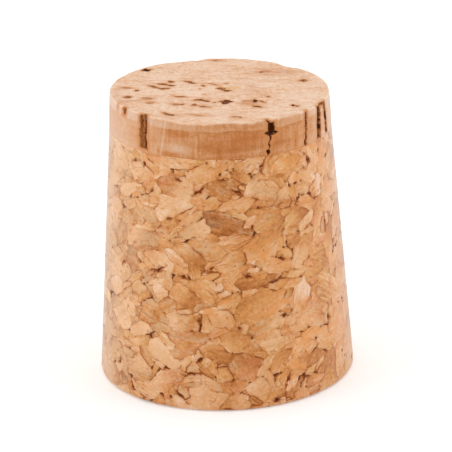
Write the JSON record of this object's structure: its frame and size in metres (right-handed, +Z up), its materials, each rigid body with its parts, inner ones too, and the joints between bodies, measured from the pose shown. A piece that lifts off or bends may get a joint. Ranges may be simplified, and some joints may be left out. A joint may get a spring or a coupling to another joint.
{
  "type": "cork stopper",
  "caption": "Tapered stopper of pressed cork granules with a thick disc of natural cork glued on its narrow end.",
  "frame": {"origin": "middle of the wide end, on the surface that the stopper stands on", "axes": "+Z runs up the stopper's axis from the wide end to the narrow end; -Y is the side with the row of open lenticels, and +X is to the right as seen from that side"},
  "size_m": [0.04, 0.04, 0.0454],
  "materials": {
    "agglomerated_cork": "sanded pressed cork granules, matte, uncoated",
    "natural_cork": "sanded natural cork, matte, uncoated"
  },
  "bodies": {
    "root": {"agglomerated_body": "agglomerated_cork", "natural_disc": "natural_cork"}
  },
  "joints": []
}
